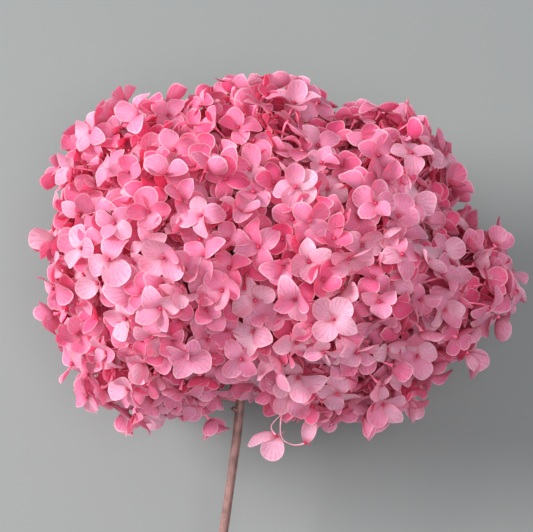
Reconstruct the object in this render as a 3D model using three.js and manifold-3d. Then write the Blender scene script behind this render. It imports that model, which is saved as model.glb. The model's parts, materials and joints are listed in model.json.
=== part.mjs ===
// A preserved hydrangea head on its bare cut stem, lying on a level surface. Millimetres, +Z up.
// Everything is laid out in the flower's own frame: +Y up the stem into the head, +X to the right of
// the face that is seen, +Z out of that face. The flower group is then tipped so that the cut end and
// the squashed underside of the head both rest on the surface.
import * as THREE from "three";
import { mergeVertices } from "three/addons/utils/BufferGeometryUtils.js";
import Module from "manifold-3d";

const wasm = await Module();
wasm.setup();
const { Manifold, Mesh } = wasm;
const V = (x, y, z) => new THREE.Vector3(x, y, z);

// Lie of the flower on the surface
const LIE_ANGLE = THREE.MathUtils.degToRad(20);

// Stem, from its cut end (negative Y) to its top inside the head
const STEM_RADIUS = 2.4;
const STEM_BELOW = 182;
const STEM_INSIDE = 13;
const STEM_SIDES = 10;
const STEM_STUBS = [
  { y: -8.5, out: [-1, 0.9, 0.5], radius: 0.95, length: 0.9 },
  { y: -2.2, out: [0.55, 0.35, 0.8], radius: 1.15, length: 1.5 },
];

// Primary rays and the side branches of the cymes
const RAY_COUNT = 10;
const RAY_RADIUS = 1.25;
const RAY_REACH = 0.56;
const BRANCH_RADIUS = 0.85;
const HUB_RADIUS = 3;
const HUB_DEPTH = 30;
const TOUCH_GAP = 0.35;

// Sterile florets
const CYME_COUNT = 44;
const SITE_COUNT = 470;
const SEPAL_COUNTS = [4, 4, 4, 4, 4, 4, 4, 3, 4, 4, 4, 4, 3, 4, 4, 5, 4, 4];
const SEPAL_LENGTH = 11.8;
const SEPAL_TURNS = { 3: 0.72, 4: 0.62, 5: 0.5 };
const PEDICEL_RADIUS = 0.55;
const CALYX_DEPTH = 1.25;

// Fitting a floret in: how far it may stand behind the head's surface, how many poses it is given, and
// how far it may turn from its pedicel
const DEEPEST = -10;
const TRIES = 120;
const LEAST_TURN = Math.cos(THREE.MathUtils.degToRad(66));

// The head: rounded lobes of florets, each [centre x, y, z, half-width x, y, z]
const HEAD_CENTRE = V(10, 62, 0);
const HEAD_LOBES = [
  [-46, 64, 5, 39, 55, 62],
  [-38, 94, 0, 38, 38, 54],
  [4, 101, 2, 44, 37, 60],
  [57, 91, -2, 36, 35, 58],
  [84, 49, 0, 36, 33, 52],
  [43, 27, 6, 42, 36, 60],
  [-38, 27, 4, 38, 37, 60],
  [2, 36, 22, 44, 31, 44],
  [-22, 62, 46, 46, 46, 42],
  [36, 56, 46, 46, 44, 43],
  [5, 62, -42, 72, 56, 46],
];
const STEM_OPENING = THREE.MathUtils.degToRad(27);

// Florets seen face on in the front of the head: [x, y, sepal length, sepal count]
const FACING_FLORETS = [
  [8, 65, 11.5, 4], [-6, 48, 11.5, 4], [22, 45, 11, 4], [37, 37, 11.5, 4], [28, 75, 11, 4],
  [6, 87, 11, 4], [-14, 77, 11, 4], [32, 107, 12, 4], [-26, 104, 12, 4], [-44, 95, 10.5, 4],
  [-30, 121, 11, 4], [22, 4, 12, 4], [1, 14, 13, 4], [60, 0, 12.5, 4], [-50, 60, 12, 3],
  [-66, 30, 11.5, 4], [64, 62, 11.5, 4], [84, 40, 12, 4], [60, 92, 11.5, 4], [-20, 22, 12, 4],
];

// Small repeatable random numbers
let seed = 20260;
function random() {
  seed = (seed + 0x6d2b79f5) | 0;
  let t = Math.imul(seed ^ (seed >>> 15), 1 | seed);
  t = (t + Math.imul(t ^ (t >>> 7), 61 | t)) ^ t;
  return ((t ^ (t >>> 14)) >>> 0) / 4294967296;
}
const between = (low, high) => low + (high - low) * random();

function solidOf(geometry) {
  const bare = new THREE.BufferGeometry().setAttribute("position", geometry.getAttribute("position"));
  if (geometry.index) bare.setIndex(geometry.index);
  const merged = mergeVertices(bare, 1e-4);
  const make = (tri) =>
    new Manifold(new Mesh({ numProp: 3, vertProperties: merged.attributes.position.array, triVerts: tri }));
  const tri = new Uint32Array(merged.index.array);
  const made = make(tri);
  return made.volume() >= 0 ? made : make(tri.slice().reverse());
}

function roundShape(radius, sides) {
  const points = [];
  for (let i = 0; i < sides; i++) {
    const a = (i / sides) * 2 * Math.PI;
    points.push(new THREE.Vector2(radius * Math.cos(a), radius * Math.sin(a)));
  }
  return new THREE.Shape(points);
}

function tube(path, radius, sides, steps) {
  const shape = roundShape(radius, sides);
  return solidOf(new THREE.ExtrudeGeometry(shape, { steps, extrudePath: path, bevelEnabled: false }));
}

// Stem: a gently bowed tube with the stubs of two lost side shoots, its cut end square across
const stemEnd = V(-24.5, -STEM_BELOW, 0);
const stemPath = new THREE.CatmullRomCurve3([
  stemEnd,
  V(-16, -STEM_BELOW * 0.62, 1.2),
  V(-6.5, -STEM_BELOW * 0.28, 1.4),
  V(-0.4, -4, 0),
  V(0.8, STEM_INSIDE, 0),
]);
const stemSpot = (y) => {
  let best = stemPath.getPointAt(0);
  for (let i = 1; i <= 400; i++) {
    const p = stemPath.getPointAt(i / 400);
    if (Math.abs(p.y - y) < Math.abs(best.y - y)) best = p;
  }
  return best;
};
function buildStem(grow) {
  const parts = [tube(stemPath, STEM_RADIUS + grow, STEM_SIDES, 14)];
  STEM_STUBS.forEach(({ y, out, radius, length }) => {
    const at = stemSpot(y);
    const way = V(...out).normalize();
    const long = STEM_RADIUS + length + grow;
    const stub = new THREE.CylinderGeometry(radius + grow, radius * 1.25 + grow, long, 7);
    stub.translate(0, long / 2, 0);
    stub.applyQuaternion(new THREE.Quaternion().setFromUnitVectors(V(0, 1, 0), way));
    parts.push(solidOf(stub.translate(at.x, at.y, at.z)));
  });
  return Manifold.union(parts);
}
const stem = buildStem(0);

// The bodies of a solid, largest first, without the empty slivers that a join can leave
const bodies = (solid) =>
  solid
    .decompose()
    .filter((b) => b.volume() > 0.01)
    .sort((a, b) => b.volume() - a.volume());

// Corners of a solid as vectors
function corners(solid) {
  const { vertProperties: v, numProp } = solid.getMesh();
  return Array.from({ length: v.length / numProp }, (_, i) => V(...v.subarray(i * numProp, i * numProp + 3)));
}

// Triangles of a solid as triples of vectors, and the solid that a closed set of them encloses
function faces(solid) {
  const points = corners(solid);
  const { triVerts } = solid.getMesh();
  const face = (i) => [0, 1, 2].map((k) => points[triVerts[3 * i + k]]);
  return Array.from({ length: triVerts.length / 3 }, (_, i) => face(i));
}
function sewn(triangles) {
  const flat = new Float32Array(triangles.flat().flatMap((p) => p.toArray()));
  return solidOf(new THREE.BufferGeometry().setAttribute("position", new THREE.BufferAttribute(flat, 3)));
}

// Height above the surface of a point in the flower's frame: the stem's cut end rests on it
const UP = V(0, Math.sin(LIE_ANGLE), Math.cos(LIE_ANGLE));
const restHeight = -Math.min(...corners(stem).map((p) => UP.dot(p)));
const heightOf = (p) => UP.dot(p) + restHeight;

// Far crossing of a line from `from` along `along` with a lobe, or 0 when it misses
function lobeCrossing([cx, cy, cz, rx, ry, rz], from, along) {
  const o = V((from.x - cx) / rx, (from.y - cy) / ry, (from.z - cz) / rz);
  const d = V(along.x / rx, along.y / ry, along.z / rz);
  const a = d.dot(d), b = o.dot(d), c = o.dot(o) - 1;
  const disc = b * b - a * c;
  return disc <= 0 ? 0 : (-b + Math.sqrt(disc)) / a;
}

// Outer surface of the head met from `from` along `along`: the point and the way it faces
function headSurface(from, along) {
  let far = 0, lobe = null;
  for (const candidate of HEAD_LOBES) {
    const t = lobeCrossing(candidate, from, along);
    if (t > far) [far, lobe] = [t, candidate];
  }
  if (!lobe) return null;
  const [cx, cy, cz, rx, ry, rz] = lobe;
  const at = from.clone().addScaledVector(along, far);
  const facing = V((at.x - cx) / rx ** 2, (at.y - cy) / ry ** 2, (at.z - cz) / rz ** 2).normalize();
  facing.addScaledVector(at.clone().sub(HEAD_CENTRE).normalize(), 0.6).normalize();
  const low = heightOf(at);
  if (low < 2.5) {
    at.addScaledVector(UP, 2.5 - low);
    facing.addScaledVector(UP, -0.9).normalize();
  }
  return { at, facing };
}

// Even scatter over the head: each new point is the candidate farthest from those already chosen
function spread(candidates, chosen, count) {
  const gap = candidates.map((c) => Math.min(...chosen.map((s) => s.at.distanceTo(c.at)), 1e6));
  while (chosen.length < count) {
    let best = 0;
    for (let i = 1; i < gap.length; i++) if (gap[i] > gap[best]) best = i;
    const pick = candidates[best];
    chosen.push(pick);
    candidates.forEach((c, i) => (gap[i] = Math.min(gap[i], c.at.distanceTo(pick.at))));
  }
  return chosen;
}

function floretSites() {
  const stemward = stemEnd.clone().normalize();
  const candidates = [];
  for (let i = 0; i < 7000; i++) {
    const y = 1 - (2 * (i + 0.5)) / 7000, r = Math.sqrt(1 - y * y), a = i * 2.399963;
    const along = V(105 * r * Math.cos(a), 72 * y, 88 * r * Math.sin(a)).normalize();
    if (along.angleTo(stemward) < STEM_OPENING) continue;
    candidates.push(headSurface(HEAD_CENTRE, along));
  }
  const facing = FACING_FLORETS.map(([x, y, length, sepals]) => {
    const site = headSurface(V(x, y, 0), V(0, 0, 1));
    site.facing.addScaledVector(V(0, 0, 1), 1.6).normalize();
    return { ...site, length, sepals, tilt: 0.28 };
  });
  return spread(candidates, facing, SITE_COUNT);
}

// One sterile floret as a closed shell: a fan of sepals over the calyx, and a straight pedicel whose
// foot stops `stop` short of `hub`. Each sepal is a notch, a shoulder, a tip and a shoulder.
function floret({ at, facing, spin, length, sepals, curl, reach = [] }, hub, stop) {
  const side = V(0, 0, 1).cross(facing).lengthSq() > 0.05 ? V(0, 0, 1) : V(0, 1, 0);
  const ax = side.cross(facing).normalize().applyAxisAngle(facing, spin);
  const ay = facing.clone().cross(ax);
  const place = (r, angle, height) =>
    at.clone()
      .addScaledVector(ax, r * Math.cos(angle))
      .addScaledVector(ay, r * Math.sin(angle))
      .addScaledVector(facing, height);
  const step = (2 * Math.PI) / sepals;
  const half = SEPAL_TURNS[sepals];
  const rim = [];
  for (let s = 0; s < sepals; s++) {
    const [shoulderLift, tipLift] = curl[s], a = s * step;
    const long = length * (s % 2 ? 0.96 : 1.04) * (reach[s] ?? 1);
    rim.push([0.38 * length, a - step / 2, -0.25]);
    rim.push([0.8 * long, a - half, shoulderLift]);
    rim.push([long, a, tipLift]);
    rim.push([0.8 * long, a + half, shoulderLift + 0.35]);
  }
  const points = [place(0, 0, 0.25)];
  rim.forEach(([r, a, h]) => points.push(place(r, a, h)));
  const n = rim.length, ring = n + 1, end = n + 4;
  for (let k = 0; k < 3; k++) points.push(place(PEDICEL_RADIUS * 1.4, k * 2.0944, -CALYX_DEPTH));
  const neck = place(0, 0, -CALYX_DEPTH);
  const inward = hub.clone().sub(neck).normalize();
  const foot = hub.clone().addScaledVector(inward, -stop);
  for (let k = 0; k < 3; k++) {
    const out = points[ring + k].clone().sub(neck);
    out.addScaledVector(inward, -out.dot(inward)).setLength(PEDICEL_RADIUS);
    points.push(foot.clone().add(out));
  }
  const corner = points.flatMap((p) => p.toArray()).map(Math.fround);
  const triangles = [];
  const turnAfter = (i) => (rim[i][1] + rim[(i + 1) % n][1] + (i === n - 1 ? 6.2832 : 0)) / 2;
  const nearest = (i) => Math.round(turnAfter(i) / 2.0944);
  for (let i = 0; i < n; i++) {
    const p = 1 + i, q = 1 + ((i + 1) % n);
    const here = (nearest(i) + 3) % 3, next = (nearest((i + 1) % n) + 3) % 3;
    triangles.push([0, p, q], [q, p, ring + here]);
    if (next !== here) triangles.push([ring + next, q, ring + here]);
  }
  for (let k = 0; k < 3; k++) {
    const l = (k + 1) % 3;
    triangles.push([ring + k, end + l, ring + l], [ring + k, end + k, end + l]);
  }
  triangles.push([end, end + 2, end + 1]);
  return {
    points: points.map((_, i) => V(...corner.slice(3 * i, 3 * i + 3))),
    solid: new Manifold(
      new Mesh({
        numProp: 3,
        vertProperties: new Float32Array(corner),
        triVerts: new Uint32Array(triangles.flat()),
      }),
    ),
  };
}

// Pieces already placed, each { solid, short, box, cyme }: `short` leaves out the pedicel's inner end
const placed = [];
const boxOf = (solid) => solid.boundingBox();
const apart = (a, b, gap) => [0, 1, 2].some((k) => a.min[k] > b.max[k] + gap || b.min[k] > a.max[k] + gap);
function clearOf(solid, others, gap) {
  const box = boxOf(solid);
  return others.every((o) => apart(box, boxOf(o), gap) || solid.minGap(o, gap + 0.1) >= gap);
}

// Primary rays: opposite pairs up the top of the stem, the lowest pairs reaching farthest round
const sites = floretSites();
const rayEnds = spread(sites.filter((s) => heightOf(s.at) > 20), [], RAY_COUNT)
  .map((s) => ({ at: s.at, climb: s.at.clone().sub(V(0, 4, 0)).normalize().y }))
  .sort((a, b) => a.climb - b.climb);
const rays = [];
rayEnds.forEach(({ at }, i) => {
  const from = stemSpot(-7 + (17 * i) / (RAY_COUNT - 1));
  const to = from.clone().lerp(at, RAY_REACH);
  const bend = from.clone().lerp(to, 0.42).add(V(0, 7, 0));
  const path = new THREE.QuadraticBezierCurve3(from, bend, to);
  let solid = tube(path, RAY_RADIUS, 5, 4).subtract(buildStem(TOUCH_GAP));
  for (const other of rays) solid = solid.subtract(tube(other.path, RAY_RADIUS + TOUCH_GAP, 5, 4));
  solid = bodies(solid.simplify(0.03))[0];
  rays.push({ path, solid });
});
const fixed = [stem, ...rays.map((r) => r.solid)];

// Cymes: each floret site belongs to the nearest cyme centre
const centres = spread(sites, [], CYME_COUNT);
const cymes = centres.map(() => ({ sites: [] }));
for (const site of sites) {
  const d = centres.map((c) => c.at.distanceTo(site.at));
  cymes[d.indexOf(Math.min(...d))].sites.push(site);
}

// Each cyme: a hub sunk behind its florets, and a branch from the hub that meets the nearest free ray
const heart = HEAD_CENTRE.clone().lerp(V(3, 18, 0), 0.3);
cymes.forEach((cyme) => {
  cyme.hub = V(0, 0, 0);
  cyme.sites.forEach((s) => cyme.hub.addScaledVector(s.at, 1 / cyme.sites.length));
  cyme.hub.addScaledVector(heart.clone().sub(cyme.hub).setLength(HUB_DEPTH), 1);
});

const knotAt = (hub, size) =>
  solidOf(new THREE.IcosahedronGeometry(HUB_RADIUS * size).translate(...hub.toArray()));

// A branch that stops just short of the ray it grows from
function branchTo(hub, ray, joint, bow) {
  const lean = hub.clone().lerp(joint, 0.5).addScaledVector(heart.clone().sub(hub).normalize(), bow);
  const start = lean.clone().sub(hub).setLength(HUB_RADIUS * 0.9).add(hub);
  for (let back = RAY_RADIUS + TOUCH_GAP; back < 5; back += 0.2) {
    const end = lean.clone().sub(joint).setLength(back).add(joint);
    const solid = tube(new THREE.QuadraticBezierCurve3(start, lean, end), BRANCH_RADIUS, 4, 2);
    if (solid.minGap(ray.solid, 1) >= TOUCH_GAP) return { solid, start };
  }
  return null;
}
function frameOf(cyme, frames) {
  const options = [];
  const inward = heart.clone().sub(cyme.hub).normalize();
  for (const pull of [0, 4, -4, 8])
    for (const ray of rays)
      for (let t = 0.98; t > 0.3; t -= 0.075)
        for (const bow of [2, -3, 6]) {
          const hub = cyme.hub.clone().addScaledVector(inward, pull);
          const joint = ray.path.getPointAt(t);
          const cost = joint.distanceTo(hub) + (1 - t) * 6 + Math.abs(bow) + Math.abs(pull) * 6;
          options.push({ hub, ray, joint, bow, cost });
        }
  options.sort((a, b) => a.cost - b.cost);
  for (const { hub, ray, joint, bow } of options) {
    const branch = branchTo(hub, ray, joint, bow);
    if (!branch) continue;
    const frame = Manifold.union([knotAt(hub, 1.1), branch.solid]);
    if (clearOf(frame, [...fixed, ...frames], TOUCH_GAP)) return { hub, frame, branch };
  }
  throw new Error("a cyme finds no free ray");
}
const HANGING = { hub: V(19, 3, 22) };
const SPRIGS = [{ hub: V(-12, 6, 16) }, { hub: V(24, 4, -22) }];
const knots = [HANGING, ...SPRIGS, ...cymes];
knots.forEach((cyme, i) => Object.assign(cyme, frameOf(cyme, knots.slice(0, i).map((c) => c.frame))));

// The loose cluster that hangs below the head: two florets on thin arched pedicels
const HANGING_FLORETS = [
  {
    at: V(15.4, -14.3, 29),
    facing: V(-0.25, -0.25, 1),
    spin: 0.1,
    reach: [0.9, 1.1, 1],
    bend: V(12.5, -5, 27),
  },
  {
    at: V(28.2, -17.6, 29),
    facing: V(-0.75, 0.1, 0.65),
    spin: 1.9,
    reach: [0.85, 0.6, 0.6],
    bend: V(23, -13, 23),
  },
];
HANGING_FLORETS.forEach(({ at, facing, spin, reach, bend }) => {
  facing.normalize();
  const curl = [[0.5, 0.2], [0.4, -0.6], [0.5, 0.4]];
  const neck = at.clone().addScaledVector(facing, -CALYX_DEPTH - 1.8);
  const made = floret({ at, facing, spin, length: 11, sepals: 3, curl, reach }, neck, 0);
  const path = new THREE.CatmullRomCurve3([neck.clone().lerp(at, 0.3), neck, bend, HANGING.hub]);
  const solid = made.solid.add(tube(path, PEDICEL_RADIUS, 4, 7));
  placed.push({ points: [], solid, short: solid, box: boxOf(solid), cyme: HANGING });
});

// Spent fertile flowers: knobs on short thin stalks
SPRIGS.forEach((sprig) => {
  const outward = sprig.hub.clone().sub(heart).normalize();
  for (let i = 0; i < 6; i++) {
    const way = V(between(-1, 1), between(-1, 1), between(-1, 1)).normalize().addScaledVector(outward, 1.1);
    const tip = sprig.hub.clone().addScaledVector(way.normalize(), between(5.5, 9));
    const stalk = tube(new THREE.LineCurve3(sprig.hub, tip), 0.4, 3, 1);
    const knob = solidOf(new THREE.OctahedronGeometry(between(1, 1.35)).translate(...tip.toArray()));
    const solid = stalk.add(knob);
    placed.push({ points: [], solid, short: solid, box: boxOf(solid), cyme: sprig });
  }
});

// Florets: the ones seen face on first, each turned and sunk until it is clear of what is there
function curls(sepals) {
  const cup = between(-0.4, 1.6);
  return Array.from({ length: sepals }, (_, s) => {
    const lap = s % 2 ? 0.5 : 0;
    return [cup * 0.6 + lap + between(-0.3, 0.3), cup + lap + between(-1.1, 1.1)];
  });
}
function posed(site, attempt) {
  const known = site.tilt !== undefined;
  const sepals = known ? site.sepals : SEPAL_COUNTS[Math.floor(random() * SEPAL_COUNTS.length)];
  const shrink = attempt < 40 ? 1 : attempt < 80 ? 0.86 : 0.74;
  const length = (known ? site.length : SEPAL_LENGTH * between(0.9, 1.08)) * shrink;
  const lean = (known ? site.tilt : 0.68) * Math.sqrt(random()) * (attempt < 60 ? 1 : 1.25);
  const axis = V(between(-1, 1), between(-1, 1), between(-1, 1)).cross(site.facing).normalize();
  const facing = site.facing.clone().applyAxisAngle(axis, lean);
  const sink = known ? between(-1.5, 1) : between(DEEPEST, 2);
  const at = site.at.clone().addScaledVector(site.facing, sink);
  return { at, facing, spin: between(0, 6.2832), length, sepals, curl: curls(sepals) };
}
const clear = (solid, list, pick) =>
  list.every((p) => apart(boxOf(solid), p.box, TOUCH_GAP) || solid.minGap(p[pick], 0.5) >= TOUCH_GAP);
function placeFloret(site) {
  const cyme = cymes.find((c) => c.sites.includes(site));
  const foreign = placed.filter((p) => p.cyme !== cyme);
  const kin = placed.filter((p) => p.cyme === cyme);
  const frames = [...fixed, ...knots.filter((c) => c !== cyme).map((c) => c.frame)];
  for (let attempt = 0; attempt < TRIES; attempt++) {
    const pose = posed(site, attempt);
    let made = floret(pose, cyme.hub, HUB_RADIUS);
    const low = Math.min(...made.points.slice(0, -3).map(heightOf));
    if (low < 4) {
      pose.at.addScaledVector(UP, -low);
      made = floret(pose, cyme.hub, HUB_RADIUS);
    }
    if (pose.at.clone().sub(cyme.hub).normalize().dot(pose.facing) < LEAST_TURN) continue;
    const short = floret(pose, cyme.hub, HUB_RADIUS + 4.5).solid;
    if (!clear(short, kin, "short") || !clear(made.solid, foreign, "solid")) continue;
    if (!clearOf(made.solid, frames, TOUCH_GAP)) continue;
    placed.push({ ...made, pose, short, box: boxOf(made.solid), cyme });
    return;
  }
}
sites.filter((s) => s.tilt !== undefined).forEach(placeFloret);
sites.filter((s) => s.tilt === undefined).forEach(placeFloret);

// Nodes
function meshOf(solid, name, color, roughness) {
  const { vertProperties, triVerts } = solid.getMesh();
  const geometry = new THREE.BufferGeometry()
    .setAttribute("position", new THREE.BufferAttribute(new Float32Array(vertProperties), 3))
    .setIndex(new THREE.BufferAttribute(new Uint32Array(triVerts), 1));
  geometry.computeVertexNormals();
  const mesh = new THREE.Mesh(geometry, new THREE.MeshStandardMaterial({ color, roughness, metalness: 0 }));
  mesh.name = name;
  return mesh;
}
const two = (i) => String(i + 1).padStart(2, "0");
const flower = new THREE.Group();
flower.add(meshOf(stem, "stem", 0xa87a72, 0.8));
rays.forEach((ray, i) => flower.add(meshOf(ray.solid, "ray_" + two(i), 0xb5606f, 0.75)));
// The hub is the round knot that just holds the feet of its pedicels and the start of its branch.
// Pedicels and branch are sewn to it along the very triangles of their ends.
function clusterSolid(cyme) {
  const own = placed.filter((p) => p.cyme === cyme);
  const { solid: branch, start } = cyme.branch;
  const collar = corners(branch).filter((p) => p.distanceTo(start) < BRANCH_RADIUS * 1.1);
  const hub = Manifold.hull([...own.flatMap((p) => p.points.slice(-3)), ...collar].map((p) => p.toArray()));
  const key = (p) => p.toArray().join();
  const within = (face, ring) => face.every((p) => ring.some((r) => key(r) === key(p)));
  const limbs = [
    { solid: branch, end: collar },
    ...own.map((p) => ({ solid: p.solid, end: p.points.slice(-3), pose: p.pose })),
  ];
  const lean = ([a, b, c]) => b.clone().sub(a).cross(c.clone().sub(a));
  const seated = limbs.filter(({ solid, end }) => {
    const [lids, caps] = [hub, solid].map((s) => faces(s).filter((f) => within(f, end)));
    if (lids.length !== end.length - 2 || caps.length !== lids.length) return false;
    return lean(lids[0]).dot(lean(caps[0])) < 0;
  });
  const skin = [hub, ...seated.map((l) => l.solid)]
    .flatMap(faces)
    .filter((face) => !seated.some(({ end }) => within(face, end)));
  const sunk = limbs
    .filter((limb) => !seated.includes(limb))
    .map((limb) => (limb.pose ? floret(limb.pose, cyme.hub, 1).solid : branch));
  const joined = Manifold.union([sewn(skin), ...sunk]);
  if (bodies(joined).length === 1) return bodies(joined)[0];
  return bodies(joined.add(knotAt(cyme.hub, 1.12)))[0];
}
function looseSolid(cyme) {
  const own = placed.filter((p) => p.cyme === cyme).map((p) => p.solid);
  return bodies(Manifold.union([knotAt(cyme.hub, 0.7), cyme.branch.solid, ...own]).simplify(0.03))[0];
}
const PETAL_PINK = 0xee8fb0;
cymes.forEach((cyme, i) => flower.add(meshOf(clusterSolid(cyme), "cyme_" + two(i), PETAL_PINK, 0.62)));
flower.add(meshOf(looseSolid(HANGING), "cyme_hanging", PETAL_PINK, 0.62));
SPRIGS.forEach((sprig, i) =>
  flower.add(meshOf(looseSolid(sprig), "sprig_fertile_" + (i + 1), 0xb8405f, 0.7)),
);
flower.rotation.x = LIE_ANGLE;
flower.position.z = restHeight;
const part = new THREE.Group();
part.add(flower);
part.updateMatrixWorld(true);
const middle = new THREE.Box3().setFromObject(part, true).getCenter(V(0, 0, 0));
flower.position.x -= middle.x;
flower.position.y -= middle.y;

export default part;
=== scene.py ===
"""A preserved pink hydrangea: one crowded mophead on its bare cut stem, lying on a table."""

import json
import math
import random

import bmesh
import bpy
import numpy as np
from mathutils import Matrix, Vector, kdtree

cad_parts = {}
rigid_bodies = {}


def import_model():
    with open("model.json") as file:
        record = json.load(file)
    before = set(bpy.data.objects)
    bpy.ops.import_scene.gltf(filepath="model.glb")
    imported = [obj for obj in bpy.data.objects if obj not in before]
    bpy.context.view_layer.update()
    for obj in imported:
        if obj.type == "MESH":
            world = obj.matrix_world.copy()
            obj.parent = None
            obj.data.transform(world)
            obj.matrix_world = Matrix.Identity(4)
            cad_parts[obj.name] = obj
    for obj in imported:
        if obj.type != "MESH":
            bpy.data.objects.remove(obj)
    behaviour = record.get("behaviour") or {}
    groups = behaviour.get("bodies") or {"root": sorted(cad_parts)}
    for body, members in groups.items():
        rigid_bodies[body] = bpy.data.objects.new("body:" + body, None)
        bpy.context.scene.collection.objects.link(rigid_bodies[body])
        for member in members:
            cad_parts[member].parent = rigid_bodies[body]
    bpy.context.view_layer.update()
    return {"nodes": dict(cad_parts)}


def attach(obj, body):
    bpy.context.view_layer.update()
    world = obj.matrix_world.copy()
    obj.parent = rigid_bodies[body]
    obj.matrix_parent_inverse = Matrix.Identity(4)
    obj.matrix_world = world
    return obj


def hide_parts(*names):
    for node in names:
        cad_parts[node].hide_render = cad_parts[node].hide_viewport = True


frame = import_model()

# ------------------------------------------------------------------------------------------------
# Stem
# One woody shoot, cut square at the bottom. Its thin bark has dried dusty pink with the dye, with
# fine lengthwise wrinkles, small pores and the stubs of two side shoots below the head.

STEM_RADIUS = 0.0020
STUB_RADII = (0.0015, 0.0013, 0.0009)
STUB_REACH = 0.0038
STUB_LEAN = 0.4
BULGE = 0.03
OFF_STEM = 0.0027
STEM_RING_GAP = 0.0008
STEM_RING_SIZE = 10
STEM_SIDES = 28
STEM_STEP = 0.0016
BARK_WRINKLE = 0.00012
WRINKLE_FINE = 2600.0
BLOTCH_FINE = 160.0
PORE_FINE = 420.0


def put(tree, kind, inputs=None, **settings):
    """Adds one node, sets its settings, and links or fills its inputs."""
    made = tree.nodes.new(kind)
    for key, value in settings.items():
        setattr(made, key, value)
    for key, value in (inputs or {}).items():
        if isinstance(value, bpy.types.NodeSocket):
            tree.links.new(value, made.inputs[key])
        else:
            made.inputs[key].default_value = value
    return made


def calc(tree, operation, a, b=0.0):
    return put(tree, "ShaderNodeMath", {0: a, 1: b}, operation=operation).outputs[0]


def blended(tree, factor, a, b, blend_type="MIX"):
    """Colour a changing to colour b as the factor rises."""
    inputs = {0: factor, 6: a, 7: b}
    return put(tree, "ShaderNodeMix", inputs, data_type="RGBA", blend_type=blend_type).outputs[2]


def rising(tree, value, low, high, top=1.0):
    """0 below low, rising smoothly to top above high."""
    inputs = {"Value": value, "From Min": low, "From Max": high, "To Max": top}
    return put(tree, "ShaderNodeMapRange", inputs, interpolation_type="SMOOTHSTEP").outputs[0]


def grain(tree, vector, scale, detail=3.0, roughness=0.55):
    inputs = {"Vector": vector, "Scale": scale, "Detail": detail, "Roughness": roughness}
    return put(tree, "ShaderNodeTexNoise", inputs).outputs[0]


def new_material(name):
    """A material whose node tree holds only its output."""
    made = bpy.data.materials.new(name)
    made.use_nodes = True
    made.node_tree.nodes.clear()
    return made, made.node_tree, made.node_tree.nodes.new("ShaderNodeOutputMaterial")


def group_tree(name, kind, inputs, outputs):
    """A node group with named sockets: each entry is (name, socket type, default or None)."""
    tree = bpy.data.node_groups.new(name, kind)
    for direction, sockets in (("INPUT", inputs), ("OUTPUT", outputs)):
        for title, socket_type, default in sockets:
            socket = tree.interface.new_socket(title, in_out=direction, socket_type=socket_type)
            if default is not None:
                socket.default_value = default
    return tree, tree.nodes.new("NodeGroupInput").outputs, tree.nodes.new("NodeGroupOutput").inputs


def attribute(tree, name, data_type="FLOAT"):
    return put(tree, "GeometryNodeInputNamedAttribute", {"Name": name}, data_type=data_type).outputs[0]


# Weathered bark, used by the stem and by the rays: blotches, pores and wrinkles along the shoot
bark_group, bark_in, bark_out = group_tree(
    "weathered bark",
    "ShaderNodeTree",
    [("Scale", "NodeSocketFloat", 1.0)],
    [(title, "NodeSocketFloat", None) for title in ("Blotch", "Pore", "Height")],
)
bark_place = put(bark_group, "ShaderNodeTexCoord").outputs["Object"]
bark_along = {"Vector": bark_place, "Scale": (1.0, 0.16, 0.5)}
bark_long = put(bark_group, "ShaderNodeMapping", bark_along).outputs[0]
bark_fine = calc(bark_group, "MULTIPLY", bark_in["Scale"], WRINKLE_FINE)
bark_wide = calc(bark_group, "MULTIPLY", bark_in["Scale"], BLOTCH_FINE)
bark_dots = {"Vector": bark_place, "Scale": calc(bark_group, "MULTIPLY", bark_in["Scale"], PORE_FINE)}
bark_wrinkle = grain(bark_group, bark_long, bark_fine, 4.0, 0.6)
bark_pores = put(bark_group, "ShaderNodeTexVoronoi", bark_dots).outputs["Distance"]
bark_pore = calc(bark_group, "SUBTRACT", 1.0, rising(bark_group, bark_pores, 0.05, 0.16))
bark_blotch = rising(bark_group, grain(bark_group, bark_place, bark_wide), 0.35, 0.68)
bark_height = calc(bark_group, "ADD", bark_wrinkle, calc(bark_group, "MULTIPLY", bark_pore, 0.5))
for title, value in (("Blotch", bark_blotch), ("Pore", bark_pore), ("Height", bark_height)):
    bark_group.links.new(value, bark_out[title])


def bark_material(name, pale, dark, pore, scale, roughness):
    """Dry bark from pale to dark in blotches, with darker pores and a lightly wrinkled surface."""
    made, tree, output = new_material(name)
    bark = put(tree, "ShaderNodeGroup", node_tree=bark_group)
    bark.inputs["Scale"].default_value = scale
    colour = blended(tree, bark.outputs["Blotch"], pale, dark)
    colour = blended(tree, calc(tree, "MULTIPLY", bark.outputs["Pore"], 0.55), colour, pore)
    relief = {"Height": bark.outputs["Height"], "Strength": 0.5, "Distance": 0.0002}
    bump = put(tree, "ShaderNodeBump", relief).outputs[0]
    rough = calc(tree, "ADD", calc(tree, "MULTIPLY", bark.outputs["Height"], 0.2), roughness - 0.1)
    inputs = {"Base Color": colour, "Roughness": rough, "Normal": bump}
    surface = put(tree, "ShaderNodeBsdfPrincipled", inputs)
    surface.inputs["Specular IOR Level"].default_value = 0.3
    tree.links.new(surface.outputs[0], output.inputs["Surface"])
    return made


stem_bark = bark_material(
    "stem bark", (0.27, 0.14, 0.125, 1), (0.14, 0.072, 0.062, 1), (0.09, 0.03, 0.03, 1), 1.0, 0.42
)

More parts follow.
